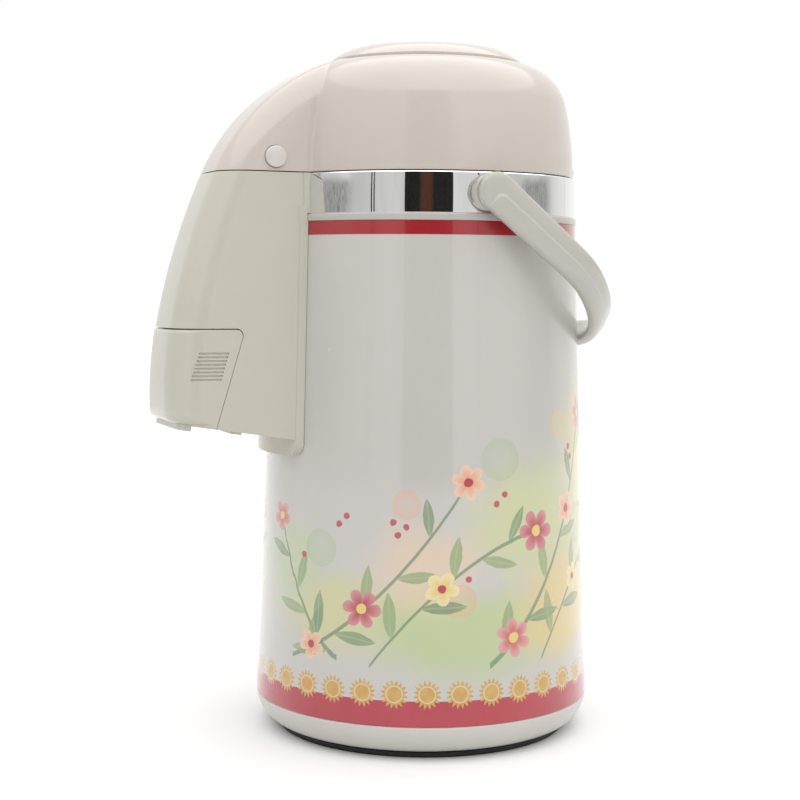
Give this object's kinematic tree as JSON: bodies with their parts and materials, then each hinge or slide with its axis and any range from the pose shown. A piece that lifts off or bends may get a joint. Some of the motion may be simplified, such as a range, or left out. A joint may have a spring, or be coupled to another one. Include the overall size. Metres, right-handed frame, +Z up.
{
  "type": "pump pot",
  "caption": "Tapered vacuum pump pot with a hinged dome lid, push-down pump plate, beaked spout with a pull-off nose, swing handle and swivel foot.",
  "frame": {"origin": "centre of the swivel foot's flat underside, where the pot stands on the table", "axes": "+Z up along the pot's axis, -Y towards the spout, +Y towards the lid hinge, +X towards the left release button, which is on the left of someone who faces the way the spout points"},
  "size_m": [0.171, 0.2225, 0.3329],
  "materials": {
    "ivory_plastic": "glossy moulded ivory",
    "black_plastic": "matt black",
    "printed_metal": "glossy white enamel with a printed border and a printed floral panel",
    "polished_band": "mirror polish",
    "steel": "plain",
    "liner_glass": "clear blown glass",
    "pale_rubber": "matt",
    "white_plastic": "plain moulded"
  },
  "bodies": {
    "base": {"swivel_foot": "black_plastic", "swivel_screw": "steel"},
    "pot": {"base_cover": "ivory_plastic", "liner_support": "ivory_plastic", "liner_cushion": "pale_rubber", "body_shell": "printed_metal", "liner_outer": "liner_glass", "liner_inner": "liner_glass", "neck_ring": "pale_rubber", "collar": "ivory_plastic", "metal_band": "polished_band", "spout_housing": "ivory_plastic", "housing_screws": "steel", "stopper": "white_plastic", "stopper_gasket": "pale_rubber", "spill_ball": "steel", "dip_tube": "white_plastic", "water_pipe": "white_plastic", "pipe_seal": "pale_rubber", "nozzle": "ivory_plastic", "hinge_pin": "steel"},
    "lid": {"lid_shell": "ivory_plastic", "lid_plate": "white_plastic", "lid_screws": "steel", "air_sleeve": "pale_rubber", "bellows": "pale_rubber", "push_spring": "steel"},
    "pump": {"push_plate": "ivory_plastic"},
    "button_left": {"release_button_left": "ivory_plastic", "button_spring_left": "steel"},
    "button_right": {"release_button_right": "ivory_plastic", "button_spring_right": "steel"},
    "nose": {"spout_cover": "ivory_plastic"},
    "handle": {"handle": "ivory_plastic"}
  },
  "joints": [
    {"name": "swivel", "type": "hinge", "parent": "base", "child": "pot", "pos_m": [0, 0, 0], "axis": [0, 0, 1], "continuous": true},
    {"name": "lid_hinge", "type": "hinge", "parent": "pot", "child": "lid", "pos_m": [0, 0.0701, 0.2729], "axis": [-1, 0, 0], "range_deg": [0, 85]},
    {"name": "pump_push", "type": "slide", "parent": "lid", "child": "pump", "axis": [0, 0, -1], "range_m": [0, 0.024], "stiffness_N_per_m": 300, "springref_m": -0.01, "deforming": ["bellows", "push_spring"]},
    {"name": "left_release", "type": "slide", "parent": "lid", "child": "button_left", "axis": [-1, 0, 0], "range_m": [0, 0.0018], "stiffness_N_per_m": 400, "springref_m": -0.003},
    {"name": "right_release", "type": "slide", "parent": "lid", "child": "button_right", "axis": [1, 0, 0], "range_m": [0, 0.0018], "stiffness_N_per_m": 400, "springref_m": -0.003},
    {"name": "nose_pull", "type": "slide", "parent": "pot", "child": "nose", "axis": [0, -1, 0], "range_m": [0, 0.035]},
    {"name": "handle_swing", "type": "hinge", "parent": "pot", "child": "handle", "pos_m": [0, 0, 0.2587], "axis": [1, 0, 0], "range_deg": [0, 175]}
  ]
}
